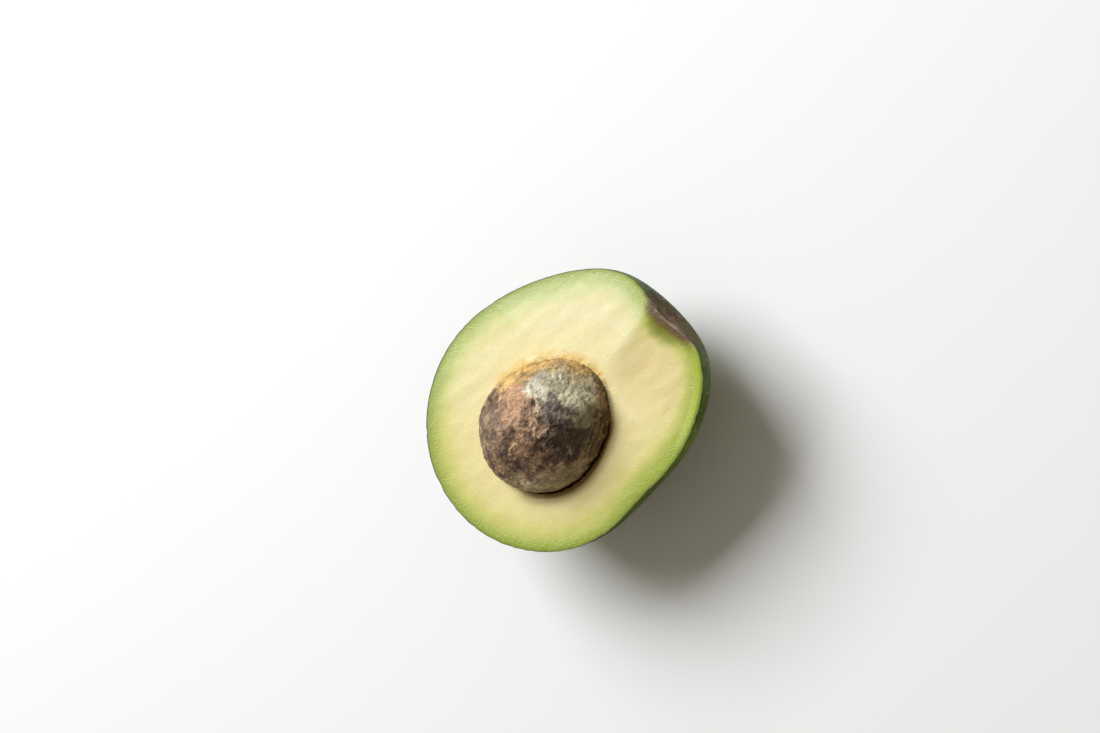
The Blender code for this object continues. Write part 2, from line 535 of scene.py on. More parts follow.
def stone_surface(direction, stone, planes):
    """A point of the seed coat: the egg, its flats, then the coat's wrinkles, pits and welts."""
    radius = stone_radius(direction, stone)
    for normal, distance in planes:
        facing = direction.dot(normal)
        if facing > 0.5:
            radius = min(radius, soft_least(radius, distance / facing, FLAT_ROUNDING))
    point = direction * radius
    lump = COAT_LUMPS.hollows(point)
    wrinkles = Relief(stone.wrinkle_depth, WRINKLE_SPACING, 12)
    wrinkle = wrinkles.creases(point) * WRINKLE_FADE.hollows(point)
    # Near its widest line the coat is drawn into folds that run round the stone.
    folded = Vector((point.x / 4, point.y / 4, 1.6 * point.z))
    fold = COAT_FOLDS.hollows(folded) * smooth_step(9 * MM, 3 * MM, abs(point.z))
    crumple = abs(COAT_CRUMPLES.waves(point)) + abs(COAT_FINE_CRUMPLES.waves(point))
    pit = COAT_PITS.pits(point, 0.1)
    # A welt stands out, because it takes most of that relief away.
    kept = 1 - 0.8 * welt_share(point)
    return direction * (radius - kept * (lump + wrinkle + fold + crumple + pit + COAT_SINK))


def stone_mesh(stone):
    """The stone, laid in its place by the fruit's middle."""
    solid = bmesh.new()
    bmesh.ops.create_uvsphere(solid, u_segments=STONE_POINTS, v_segments=STONE_RINGS, radius=1)
    welt_layer = solid.verts.layers.float.new("welt")
    planes = flat_planes(stone)
    for vert in solid.verts:
        vert.co = stone_surface(vert.co.normalized(), stone, planes)
        vert[welt_layer] = welt_share(vert.co)
    bmesh.ops.rotate(solid, verts=solid.verts[:], matrix=Matrix.Rotation(stone.turn, 3, "Z"))
    bmesh.ops.translate(solid, verts=solid.verts[:], vec=stone_middle(stone))
    bmesh.ops.recalc_face_normals(solid, faces=solid.faces[:])
    return solid


# The flesh.

# Where the two sweeps of the knife meet: a low ridge from the stone to the stem.
RIDGE_START = Vector((17.9, 0.9, 0)) * MM
RIDGE_END = Vector((40.1, 7.8, 0)) * MM
# The turns from the stone's middle at which the flesh has drawn back from it, and at which the clinging
# coat draws a golden film up the stone.
LOOSE_TURN = math.radians(-88)
FILM_TURN = math.radians(55)
FILM_RISE = 0.55 * MM
FILM_RAGS = Relief(0.5, 2.5 * MM, 24)
FILM_FRINGE = Relief(0.35, 0.9 * MM, 25)
GAP_WANDER = Relief(0.25 * MM, 4 * MM, 26)
# How far the lip is drawn in past its gap where the coat clings, so that no dark line shows there.
LIP_DIP = 0.35 * MM
# How far the lip hangs down where the flesh is loose, and how far from the stone it starts to.
LIP_FALL = 0.7 * MM
LIP_FALL_REACH = 2.0 * MM
LIP_RISE_REACH = 2.4 * MM
# How far the face falls away to the -Y side of the ridge.
RIDGE_FALL = 0.9 * MM
# The knife's long sweeps, the face's soft waves, the knife's scratches and the moist cells by the peel.
SWEEPS = Relief(0.12 * MM, MM, 21)
SWEEP_STRETCH = (14, 4)
FACE_WAVES = Relief(0.06 * MM, 3 * MM, 22)
SCRATCHES = Relief(0.012 * MM, 0.5 * MM, 23)
SCRATCH_STRETCH = 9
MOIST_CELLS = Relief(0.05 * MM, 0.8 * MM, 27)


def clinging(turn):
    """1 where the seed coat clings to the flesh, 0 where the flesh has drawn back from it."""
    return smooth_step(0.72, 0.34, math.cos(turn - LOOSE_TURN))


def filmed(turn):
    """1 where the film of flesh and coat is thickest, 0 where there is none."""
    return smooth_step(0.35, 0.85, math.cos(turn - FILM_TURN))


def lip_place(turn):
    """Where the lip's noises are read: on a circle about as wide as the stone."""
    return face_direction(turn) * 18 * MM


def film_height(turn):
    """How far the flesh stands up the stone: ragged, and highest under the golden film."""
    place = lip_place(turn)
    ragged = 0.55 + FILM_RAGS.waves(place) + FILM_FRINGE.waves(place)
    return FILM_RISE * clinging(turn) * max(0.1, ragged) * (0.35 + 0.65 * filmed(turn))


def hollow_gap(turn, stone):
    """Width of the gap between the stone and its hollow."""
    cling = clinging(turn)
    wander = GAP_WANDER.waves(lip_place(turn))
    return stone.gap_tight * cling + (stone.gap_loose + wander) * (1 - cling)


def hollow_point(turn, steepness, stone):
    """A point of the hollow's wall, from the fruit's middle: the smooth stone grown by its gap."""
    direction = below_face(turn - stone.turn, steepness)
    radius = stone_radius(direction, stone) + hollow_gap(turn, stone)
    spot = Matrix.Rotation(stone.turn, 3, "Z") @ (direction * radius)
    return spot + stone_middle(stone)


def mouth_point(turn, stone, planes):
    """A point of the hollow's lip. Where the coat clings, the lip lies on the stone's own surface."""
    rise = math.asin(film_height(turn) / stone.half_width)
    direction = below_face(turn - stone.turn, -rise)
    gap = hollow_gap(turn, stone) - LIP_DIP * clinging(turn)
    point = stone_surface(direction, stone, planes)
    point += direction * gap
    return Matrix.Rotation(stone.turn, 3, "Z") @ point + stone_middle(stone)


def off_ridge(point):
    """How far a point of the cut face lies off the ridge, to its -Y side."""
    run = (RIDGE_END - RIDGE_START).normalized()
    offset = point - RIDGE_START
    return run.y * offset.x - run.x * offset.y


def by_ridge(point):
    """1 alongside the ridge, 0 on the stone's far side."""
    run = (RIDGE_END - RIDGE_START).normalized()
    return smooth_step(-7 * MM, 4 * MM, (point - RIDGE_START).dot(run))


def face_height(point, from_peel, from_stone, turn):
    """How far the cut face stands over its plane: the knife's sweeps, its ridge and the soft edges."""
    fall = RIDGE_FALL * by_ridge(point) * smooth_step(-0.8 * MM, 9 * MM, off_ridge(point))
    swept = Vector((point.x / SWEEP_STRETCH[0], point.y / SWEEP_STRETCH[1], 0))
    sweep = SWEEPS.waves(swept) + FACE_WAVES.waves(point)
    scratch = SCRATCHES.waves(Vector((point.x / SCRATCH_STRETCH, point.y, 0)))
    inside = smooth_step(0, 2.5 * MM, from_peel)
    moist = MOIST_CELLS.waves(point) * smooth_step(3.5 * MM, 1.0 * MM, from_peel)
    lip_rise = film_height(turn) * smooth_step(LIP_RISE_REACH, 0, from_stone)
    lip_fall = LIP_FALL * (1 - clinging(turn)) * smooth_step(LIP_FALL_REACH, 0, from_stone)
    edge = smooth_step(0, 0.5 * MM, from_peel)
    return inside * (sweep - fall) + edge * (scratch + moist) + lip_rise - lip_fall


# How far the flesh stays inside the peel, at the cut and below it.
EDGE_GAP = 0.005 * MM
SIDE_GAP = 0.05 * MM


def flesh_mesh(fruit, stone):
    """The flesh, as rings: up the stone's hollow, out over the cut face and down under the peel."""
    solid = bmesh.new()
    bmesh.ops.create_circle(solid, cap_ends=True, segments=FLESH_POINTS, radius=1)
    turn_layer, peel_layer, stone_layer, cling_layer, film_layer, ridge_layer = (
        solid.verts.layers.float.new(name)
        for name in ("turn", "from_peel", "from_stone", "cling", "film", "off_ridge")
    )
    run_layer = solid.verts.layers.float_vector.new("run")
    planes = flat_planes(stone)

    def hollow_place(turn, steepness):
        return hollow_point(turn, math.radians(steepness), stone)

    @cache
    def lip_point(turn):
        return mouth_point(turn, stone, planes)

    @cache
    def edge_point(turn):
        direction = face_direction(turn)
        return peel_inside(direction, fruit) - direction * EDGE_GAP

    def face_place(turn, share):
        mouth = lip_point(turn)
        edge = edge_point(turn)
        point = mouth.lerp(edge, share)
        from_stone = (point.xy - mouth.xy).length
        from_peel = (edge.xy - point.xy).length
        point.z = face_height(point, from_peel, from_stone, turn)
        return point

    def side_place(turn, steepness):
        direction = below_face(turn, math.radians(steepness))
        point = peel_inside(direction, fruit) - direction * SIDE_GAP
        point.z = max(point.z, fruit.peel + SIDE_GAP - CUT_HEIGHT)
        return point

    for vert in solid.verts:
        vert[turn_layer] = math.atan2(vert.co.y, vert.co.x)
        vert.co = hollow_place(vert[turn_layer], HOLLOW_BOTTOM)
    loop = grow_rings(solid, solid.edges[:], turn_layer, HOLLOW_RINGS, hollow_place)
    # The rings of the face lie closer together near the stone.
    shares = [(ring / FACE_RINGS) ** 1.15 for ring in range(FACE_RINGS + 1)]
    loop = grow_rings(solid, loop, turn_layer, shares, face_place)
    sharpen(loop)
    loop = grow_rings(solid, loop, turn_layer, FLESH_SIDE_RINGS, side_place)
    bmesh.ops.holes_fill(solid, edges=loop, sides=0)
    for vert in solid.verts:
        turn = math.atan2(vert.co.y, vert.co.x)
        vert[peel_layer] = edge_point(turn).length - vert.co.xy.length
        own = vert.co - stone_middle(stone)
        own_turn = math.atan2(own.y, own.x)
        mouth = hollow_point(own_turn, 0, stone) - stone_middle(stone)
        vert[stone_layer] = own.xy.length - mouth.length + min(0, vert.co.z + 1.5 * MM)
        vert[cling_layer] = clinging(own_turn)
        vert[film_layer] = filmed(own_turn)
        vert[ridge_layer] = off_ridge(vert.co) * by_ridge(vert.co)
        # Fibres follow the fruit's outline, so they close up towards its ends.
        along = vert.co.x / (1.03 * fruit.half_length)
        belly = fruit.half_width * math.sqrt(max(0.02, 1 - along**2))
        vert[run_layer] = Vector((vert.co.x, fruit.half_width * vert.co.y / belly, 0))
    bmesh.ops.recalc_face_normals(solid, faces=solid.faces[:])
    return solid


# Materials.


def add_node(tree, kind, inputs=(), output=0, stops=(), **properties):
    """Adds a shader node and returns one of its outputs. Inputs are keyed by name or number, or fill the
    first ones in order: a socket is linked, and any other value is set on the input itself. Stops fill a
    colour ramp with places and colours."""
    made = tree.nodes.new("ShaderNode" + kind)
    for name, value in properties.items():
        setattr(made, name, value)
    for key, value in inputs.items() if isinstance(inputs, dict) else enumerate(inputs):
        if isinstance(value, bpy.types.NodeSocket):
            tree.links.new(value, made.inputs[key])
        else:
            made.inputs[key].default_value = value
    for index, (place, value) in enumerate(stops):
        ramp = made.color_ramp.elements
        element = ramp[index] if index < 2 else ramp.new(place)
        element.position = place
        element.color = value
    return made.outputs[output] if made.outputs else made


def new_material(name):
    """An empty node material, the function that adds its nodes, and the place of a point in metres."""
    material = bpy.data.materials.new(name)
    material.use_nodes = True
    material.node_tree.nodes.clear()
    node = partial(add_node, material.node_tree)
    return material, node, node("TexCoord", output="Object")


def finish_material(node, settings_of_shader):
    """Adds the shader and links it to the material's output."""
    shader = node("BsdfPrincipled", settings_of_shader)
    node("OutputMaterial", {"Surface": shader})


def combed(node, place, across, seed):
    """Noise in streaks, with a width along each axis."""
    stretch = {
        "Vector": place,
        "Scale": [1 / width for width in across],
        "Location": (seed, seed, seed),
    }
    stretched = node("Mapping", stretch)
    return node("TexNoise", {"Vector": stretched, "Scale": 1, "Detail": 4})


def lay_over(node, painted, layers):
    """Lays tints over a colour. A layer is its tint, then one or more ranges: a value, where it bares
    the colour, where it covers it, and the most that it covers. The ranges' shares are multiplied."""
    for tint, *ranges in layers:
        share = 1.0
        for value, bare, covered, most in ranges:
            reach = (value, bare, covered, 0, most)
            part = node("MapRange", reach, interpolation_type="SMOOTHSTEP")
            share = node("Math", (share, part), operation="MULTIPLY")
        mixed = {0: share, MIX_FIRST: painted, MIX_SECOND: tint}
        painted = node("Mix", mixed, MIX_RESULT, data_type="RGBA")
    return painted


def shaded(node, painted, value, darkest, lightest):
    """A colour made darker and lighter by a noise."""
    shade = node("MapRange", (value, 0.3, 0.7, darkest, lightest))
    mixed = {0: 1.0, MIX_FIRST: painted, MIX_SECOND: shade}
    return node("Mix", mixed, MIX_RESULT, data_type="RGBA", blend_type="MULTIPLY")


def bumped(node, bumps):
    """The normal of a surface with bumps: each a height from 0 to 1, its strength and its depth."""
    normal = node("NewGeometry", output="Normal")
    for height, strength, depth in bumps:
        bump = {"Height": height, "Strength": strength, "Distance": depth, "Normal": normal}
        normal = node("Bump", bump)
    return normal


# The flesh's colours by their depth in millimetres under the skin: on the -Y side, and on the +Y side,
# which faces the main light and is lighter partly as painted sheen.
FLESH_BANDS = (
    (0.0, "#808d31", "#98a552"),
    (0.6, "#97a440", "#aab768"),
    (1.7, "#a1ae4c", "#bdc983"),
    (2.5, "#adb655", "#c4cd8e"),
    (3.5, "#b9be63", "#c9d391"),
    (5.0, "#c8c870", "#dadea6"),
    (7.0, "#d6ce82", "#e0dfa9"),
    (9.0, "#ddd38f", "#e9e2ac"),
    (12.0, "#e3d79a", "#ebe3b6"),
    (16.0, "#e6d89d", "#ebdfac"),
)
BAND_DEPTH = 16 * MM
# How far noise and fibres move the bands in and out, from edge to edge.
WANDER_SHIFT = 3.6 * MM
RAY_SHIFT = 1.6 * MM
# Directions from the fruit's middle to where its flesh is palest, on the side of the main light and
# partly with painted sheen, and where it is greenest.
PALE_SHEEN_SIDE = (0.5, 0.866, 0)
FULL_SIDE = (0.82, -0.57, 0)
BEIGE_MIDDLE = Vector((29, -9, 0)) * MM
# Fine fibres radiate from the fruit's middle to the peel, this many to a radian.
RAYS_PER_RADIAN = 80
# Coarser fibres run from the stem round the stone.
FIBRE_LENGTH = 40 * MM
FIBRE_SPACING = 4 * MM
BAND_WANDER = 5 * MM
# The flesh's cells are a tenth of a millimetre wide, too fine to show, so its grain is drawn coarser.
FLESH_GRAIN = 0.55 * MM


def flesh_patterns(node, place):
    """What the flesh's colour and gloss follow: distances kept in the mesh, noises and fibres."""
    names = ("from_peel", "from_stone", "cling", "film", "off_ridge")
    values = {name: node("Attribute", output="Fac", attribute_name=name) for name in names}
    wander, grain = (
        node("TexNoise", {"Vector": place, "Scale": 1 / width, "Detail": 3})
        for width in (BAND_WANDER, FLESH_GRAIN)
    )
    outwards = node("VectorMath", (place, fruit_middle()), operation="SUBTRACT")
    direction = node("VectorMath", (outwards,), operation="NORMALIZE")
    radiating = (direction, [RAYS_PER_RADIAN] * 3, outwards)
    radiating = node("VectorMath", radiating, operation="MULTIPLY_ADD")
    rays = node("TexNoise", {"Vector": radiating, "Scale": 1, "Detail": 3})
    run = node("Attribute", output="Vector", attribute_name="run")
    fibres = combed(node, run, (FIBRE_LENGTH, FIBRE_SPACING, 1), 0)
    mean_shift = (WANDER_SHIFT + RAY_SHIFT) / 2
    shift = node("Math", (wander, WANDER_SHIFT, -mean_shift), operation="MULTIPLY_ADD")
    shift = node("Math", (rays, RAY_SHIFT, shift), operation="MULTIPLY_ADD")
    return SimpleNamespace(
        **values, wander=wander, grain=grain, outwards=outwards, rays=rays, fibres=fibres, shift=shift
    )


def flesh_bands(node, patterns, peel):
    """The colours by depth of the two sides, the +Y side's lighter partly as painted sheen. The bands
    wander, but not right under the peel.
    """
    inward = node("MapRange", (patterns.from_peel, 0, 4 * MM, 0.15, 1))
    depth = node("Math", (patterns.shift, inward, patterns.from_peel), operation="MULTIPLY_ADD")
    share = node("MapRange", (depth, -peel, BAND_DEPTH - peel, 0, 1))
    bands = [(band[0] * MM / BAND_DEPTH, band) for band in FLESH_BANDS]
    return [
        node("ValToRGB", {"Fac": share}, stops=[(place, linear(band[side])) for place, band in bands])
        for side in (1, 2)
    ]


def flesh_paint(node, patterns, colours, fruit):
    """The flesh's colour: its bands and streaks, lighter toward the main light partly as painted sheen,
    its duller part, and the stains by stem and stone, which are partly painted shade by the stone's
    loose gap, down the hollow's wall and in the notch by the stem.
    """
    full_side, pale_sheen_bands = flesh_bands(node, patterns, fruit.peel)
    to_pale_sheen, to_full = (
        node("VectorMath", (patterns.outwards, side), "Value", operation="DOT_PRODUCT")
        for side in (PALE_SHEEN_SIDE, FULL_SIDE)
    )
    beige_away, stem_away = (
        node("VectorMath", (patterns.outwards, spot), "Value", operation="DISTANCE")
        for spot in (BEIGE_MIDDLE, stem_point(fruit))
    )
    stem_away = node("Math", (patterns.shift, stem_away), operation="ADD")
    from_peel = patterns.from_peel
    from_stone = patterns.from_stone
    off_ridge = patterns.off_ridge
    heart = (from_peel, 3 * MM, 9 * MM, 1)
    layers = (
        # Painted sheen in part: the +Y side's lighter bands laid over the side toward the main light.
        (pale_sheen_bands, (to_pale_sheen, -8 * MM, 20 * MM, 1), (off_ridge, 2.2 * MM, -1.4 * MM, 1)),
        (colours.full, (to_full, 12 * MM, 32 * MM, 0.5), (from_peel, 7 * MM, 1.5 * MM, 1)),
        # The pale streaks, gathered toward the main light, are partly painted sheen.
        (colours.pale, heart, (patterns.fibres, 0.42, 0.66, 0.65), (to_pale_sheen, -14 * MM, 12 * MM, 1)),
        (colours.beige, heart, (beige_away, 17 * MM, 6 * MM, 0.65), (off_ridge, -1.4 * MM, 2.6 * MM, 1)),
        (colours.olive, (stem_away, 8.5 * MM, 3.5 * MM, 0.95), (off_ridge, -1.0 * MM, 1.5 * MM, 1)),
        # Painted shade in part: purple brown in the notch by the stem.
        (
            colours.bruise_and_shade,
            (stem_away, 12 * MM, 6 * MM, 0.9),
            (from_peel, 3.4 * MM, 0.6 * MM, 1),
            (off_ridge, -3.0 * MM, 0, 1),
        ),
        # Painted shade in part: brown beside the loose gap, where the stone shades the flesh.
        (colours.stain_and_shade, (from_stone, 3.8 * MM, -0.4 * MM, 0.85), (patterns.cling, 0.85, 0.1, 1)),
        (colours.stain_and_shade, (from_stone, 0.9 * MM, 0.1 * MM, 0.6), (patterns.grain, 0.4, 0.6, 1)),
        (
            colours.film,
            (from_stone, 2.6 * MM, 0.1 * MM, 0.9),
            (patterns.film, 0.1, 0.7, 1),
            (patterns.wander, 0.25, 0.6, 1),
        ),
        # Painted shade in part: brown down the hollow's wall, in the gap beside the stone.
        (colours.stain_and_shade, (from_stone, -0.1 * MM, -0.9 * MM, 0.9), (patterns.film, 0.7, 0.2, 1)),
    )
    return shaded(node, lay_over(node, full_side, layers), patterns.grain, 0.96, 1.03)


def flesh_material(colours, fruit):
    """Ripe avocado flesh cut with a knife: fatty and moist, so light sinks in and its gloss is broad.
    It is cream at heart and green in the last millimetres under the peel."""
    material, node, place = new_material("avocado_flesh")
    patterns = flesh_patterns(node, place)
    painted = flesh_paint(node, patterns, colours, fruit)
    # The cut cells of the outermost millimetres stand wet.
    wet_noise = node("MapRange", (patterns.grain, 0.45, 0.62, 0, 1))
    wet_edge = node("MapRange", (patterns.from_peel, 3.5 * MM, 0.8 * MM, 0.15, 1))
    wet = node("Math", (wet_noise, wet_edge), operation="MULTIPLY")
    gloss = node("MapRange", (patterns.fibres, 0.3, 0.7, 0.34, 0.50))
    roughness = node("MapRange", {0: wet, 3: gloss, 4: 0.22})
    bumps = (
        (patterns.grain, 0.30, 0.12 * MM),
        (patterns.rays, 0.25, 0.15 * MM),
        (wet, 0.5, 0.10 * MM),
    )
    finish_material(
        node,
        {
            "Base Color": painted,
            "Roughness": roughness,
            "IOR": 1.40,
            "Subsurface Weight": 0.35,
            "Subsurface Radius": (1.0, 0.72, 0.28),
            "Subsurface Scale": 1.8 * MM,
            "Normal": bumped(node, bumps),
        },
    )
    return material


# Widths of the cork's grain and of the wander of its border, and how far that border wanders in all.
CORK_GRAIN = 2.6 * MM
CORK_BORDER = 4 * MM
CORK_WANDER = 10 * MM
# Widths of the skin's blotches, of the patches in them and of its pebbles.
SKIN_BLOTCHES = 16 * MM
SKIN_PATCHES = 3 * MM
SKIN_PEBBLES = 1.3 * MM
# Two sizes of pore: the cells' spacing, and the least and greatest size of the dot in a cell, as a share
# of the spacing. A cell whose size is under 0 has none.
SKIN_PORES = ((1.5 * MM, -0.04, 0.28), (0.95 * MM, -0.15, 0.24))
# The pores are drawn out along the fruit.
PORE_STRETCH = (0.55, 1, 1)
# How far from its middle a dot starts to fade, and how far it takes to.
PORE_EDGE = (-0.03, 0.09)


def cork_nodes(node, place, reach, colours, fruit):
    """Nodes for the corky skin round the stem: the range that bounds it, and its colour."""
    stem = fruit_middle() + stem_point(fruit)
    away = node("VectorMath", (place, stem), "Value", operation="DISTANCE")
    wander, grain = (
        node("TexNoise", {"Vector": place, "Scale": 1 / width, "Detail": 4})
        for width in (CORK_BORDER, CORK_GRAIN)
    )
    wandered = node("Math", (wander, CORK_WANDER, away), operation="MULTIPLY_ADD")
    away = node("Math", (wandered, CORK_WANDER / 2), operation="SUBTRACT")
    browns = [(0.30, colours.cork_deep), (0.50, colours.cork), (0.70, colours.cork_light)]
    tint = node("ValToRGB", {"Fac": grain}, stops=browns)
    tint = lay_over(node, tint, ((colours.cork_green, (wander, 0.45, 0.65, 0.75)),))
    return (away, reach, 0.6 * reach, 1), tint


def skin_material(colours, fruit):
    """Green avocado skin: a thin waxy rind, softly glossy over fine pebbles, dotted with pale pores.
    Round the stem it has turned to cork."""
    material, node, place = new_material("avocado_skin")
    blotches, patches, pebbles = (
        node("TexNoise", {"Vector": place, "Scale": 1 / width, "Detail": detail})
        for width, detail in ((SKIN_BLOTCHES, 6), (SKIN_PATCHES, 5), (SKIN_PEBBLES, 3))
    )
    greens = [(0.28, colours.skin_deep), (0.50, colours.skin), (0.76, colours.skin_light)]
    painted = node("ValToRGB", {"Fac": blotches}, stops=greens)
    painted = shaded(node, painted, patches, 0.80, 1.20)
    lengthways = node("Mapping", {"Vector": place, "Scale": PORE_STRETCH})
    pores = []
    for spacing, smallest, largest in SKIN_PORES:
        distance = node("TexVoronoi", {"Vector": lengthways, "Scale": 1 / spacing}, "Distance")
        chance = node("SeparateColor", {"Color": distance.node.outputs["Color"]}, "Red")
        size = node("MapRange", (chance, 0, 1, smallest, largest))
        inside = node("Math", (size, distance), operation="SUBTRACT")
        pores.append((inside, *PORE_EDGE, 0.8))
    cork_range, cork_tint = cork_nodes(node, place, fruit.cork_reach, colours, fruit)
    height = node("SeparateXYZ", (place,), "Z")
    layers = (
        (colours.speck, pores[0]),
        (colours.speck, pores[1]),
        (colours.rim, (height, CUT_HEIGHT - 0.6 * MM, CUT_HEIGHT, 0.5)),
        (cork_tint, cork_range),
    )
    painted = lay_over(node, painted, layers)
    gloss = node("MapRange", (*cork_range[:3], 0.42, 0.75))
    raised = node("MapRange", (pores[0][0], *PORE_EDGE, 0, 1))
    normal = bumped(node, ((pebbles, 0.7, 0.35 * MM), (raised, 0.4, 0.05 * MM)))
    finish_material(
        node,
        {
            "Base Color": painted,
            "Roughness": gloss,
            "IOR": 1.45,
            "Specular IOR Level": 0.08,
            "Normal": normal,
        },
    )
    return material


def rim_material(colours, fruit):
    """The peel's cut edge: a dark line of skin, then the green layer that grades into the flesh."""
    material, node, place = new_material("avocado_peel_cut")
    depth = node("Attribute", output="Fac", attribute_name="rim_depth")
    nibble = node("TexNoise", {"Vector": place, "Scale": 1 / (0.8 * MM), "Detail": 3})
    across = node("Math", (nibble, 0.5, depth), operation="MULTIPLY_ADD")
    greens = [(0.34, colours.rim), (0.46, colours.rim_middle), (1.0, colours.rim_inner)]
    section = node("ValToRGB", {"Fac": across}, stops=greens)
    cork_range, cork_tint = cork_nodes(node, place, 0.9 * fruit.cork_reach, colours, fruit)
    painted = lay_over(node, section, ((cork_tint, cork_range),))
    normal = bumped(node, ((nibble, 0.4, 0.12 * MM),))
    finish_material(node, {"Base Color": painted, "Roughness": 0.45, "IOR": 1.42, "Normal": normal})
    return material


# Patches of the seed coat: colour, middle in the stone's frame in millimetres, reach in millimetres and
# the share that it covers at its middle.
COAT_PATCHES = (
    ("#b9a47c", (-13, -10, 3.5), 7.5, 0.85),
    ("#bba883", (-4, -16, 3.5), 7.5, 0.85),
    ("#96835f", (6, -15.5, 3.5), 4.5, 0.5),
    ("#5b422a", (-3, -8, 14), 5, 0.4),
    # These two dark patches on the stone's -Y side, away from the main light, are painted shade.
    ("#32210f", (8, -10, 12), 7.5, 0.85),
    ("#42300f", (12, -12, 7), 8, 0.85),
    ("#8b735d", (-9, 6, 12), 8, 0.6),
    ("#c69872", (2.5, 9, 13.5), 6.3, 0.8),
    ("#bfb699", (15, 2.5, 10), 10, 0.95),
    ("#d6d0ba", (9.5, 6.5, 12.5), 4.2, 0.65),
    ("#9c9070", (15.5, -7, 8), 4.5, 0.7),
    ("#6f5c57", (10.2, -0.8, 13.8), 3.8, 0.9),
    ("#4c3b33", (10.5, -4.5, 13.2), 3.2, 0.8),
    ("#a98b70", (4, -4.3, 15.4), 2.2, 0.8),
    ("#d2aa62", (4, 16, 6), 6.5, 0.9),
    ("#d2aa62", (12, 13.5, 3.5), 6.5, 0.9),
    ("#cfa864", (19, 7, 0), 5.5, 0.9),
    ("#a38c66", (18.7, 4, 6.3), 4, 0.6),
)

# Widths of the coat's mottles, crumples and fine grain, and how much each noise is swirled.
COAT_NOISES = ((2.8 * MM, 0.6), (1.3 * MM, 0.5), (0.5 * MM, 0))
# Lengths, widths and heights of its streaks, which run round the stone, and of its papery fibres.
COAT_STREAKS = (4 * MM, 4 * MM, 0.45 * MM)
COAT_FIBRES = (5 * MM, 0.8 * MM, 3 * MM)
# How ragged the patches' edges are: the width of the noise and how far it moves them in all.
PATCH_RAGS = 3.2 * MM
PATCH_WANDER = 12 * MM


def coat_material(colours, stone):
    """The seed coat: a papery brown skin, crumpled and dull, worn in places to a pale film."""
    material, node, place = new_material("avocado_seed_coat")
    middle = fruit_middle() + stone_middle(stone)
    centred = node("VectorMath", (place, middle), operation="SUBTRACT")
    own = node("Mapping", {"Vector": centred, "Rotation": (0, 0, -stone.turn)})
    rags = {"Vector": own, "Scale": 1 / PATCH_RAGS, "Detail": 6}
    ragged = node("TexNoise", rags, "Color")
    shift = node("VectorMath", (ragged, (0.5, 0.5, 0.5)), operation="SUBTRACT")
    shifted = node("VectorMath", (shift, [PATCH_WANDER] * 3, own), operation="MULTIPLY_ADD")
    mottle, crumple, fine = (
        node("TexNoise", {"Vector": own, "Scale": 1 / width, "Detail": 6, "Distortion": swirl})
        for width, swirl in COAT_NOISES
    )
    streaks = combed(node, own, COAT_STREAKS, 3)
    papery = combed(node, own, COAT_FIBRES, 5)
    # The coat is cracked along thin wandering lines.
    crack = node("Math", (crumple, 0.5), operation="SUBTRACT")
    crack = node("Math", (crack,), operation="ABSOLUTE")
    uncracked = node("MapRange", (crack, 0, 0.06, 0, 1))
    browns = [
        (0.34, colours.coat_deep),
        (0.47, colours.coat),
        (0.57, colours.coat_mid),
        (0.68, colours.coat_light),
    ]
    painted = node("ValToRGB", {"Fac": mottle}, stops=browns)
    layers = []
    for tint, centre, reach, cover in COAT_PATCHES:
        centre = Vector(centre) * MM
        away = node("VectorMath", (shifted, centre), "Value", operation="DISTANCE")
        layers.append((linear(tint), (away, 1.2 * reach * MM, 0.6 * reach * MM, cover)))
    height = node("SeparateXYZ", (own,), "Z")
    welt = node("Attribute", output="Fac", attribute_name="welt")
    layers += (
        (colours.coat_light, (streaks, 0.5, 0.62, 0.6), (height, 8 * MM, 3 * MM, 1)),
        (colours.coat_deep, (streaks, 0.46, 0.36, 0.6), (height, 8 * MM, 3 * MM, 1)),
        (colours.coat_deep, (papery, 0.44, 0.34, 0.4)),
        (colours.coat_pale, (fine, 0.58, 0.70, 0.35), (mottle, 0.4, 0.55, 1)),
        (colours.coat_deep, (crack, 0.05, 0.01, 0.3), (mottle, 0.6, 0.4, 1)),
        (colours.coat_pale, (welt, 0.25, 0.9, 0.8), (fine, 0.3, 0.5, 1)),
    )
    painted = lay_over(node, painted, layers)
    for value, darkest, lightest in ((mottle, 0.72, 1.28), (crumple, 0.80, 1.20), (fine, 0.85, 1.15)):
        painted = shaded(node, painted, value, darkest, lightest)
    normal = bumped(
        node,
        (
            (mottle, 0.9, 0.7 * MM),
            (crumple, 0.9, 0.5 * MM),
            (uncracked, 0.3, 0.2 * MM),
            (papery, 0.4, 0.25 * MM),
            (fine, 0.6, 0.15 * MM),
        ),
    )
    finish_material(node, {"Base Color": painted, "Roughness": 0.58, "IOR": 1.45, "Normal": normal})
    return material


def floor_material(tint):
    """A plain matt white board. Its real grain is too fine to show, so it is drawn coarser."""
    material, node, place = new_material("white_board")
    grain = node("TexNoise", {"Vector": place, "Scale": 1 / (0.8 * MM), "Detail": 3})
    normal = bumped(node, ((grain, 0.1, 0.05 * MM),))
    finish_material(node, {"Base Color": tint, "Roughness": 0.7, "Normal": normal})
    return material


# The stage.

FLOOR_HALF_WIDTH = 5


def add_floor(scene, stage):
    """The board that the half lies on."""
    board = bmesh.new()
    bmesh.ops.create_grid(board, x_segments=1, y_segments=1, size=FLOOR_HALF_WIDTH)
    mesh = bpy.data.meshes.new("floor")
    board.to_mesh(mesh)
    board.free()
    mesh.materials.append(floor_material(stage.floor))
    floor = bpy.data.objects.new("floor", mesh)
    scene.collection.objects.link(floor)


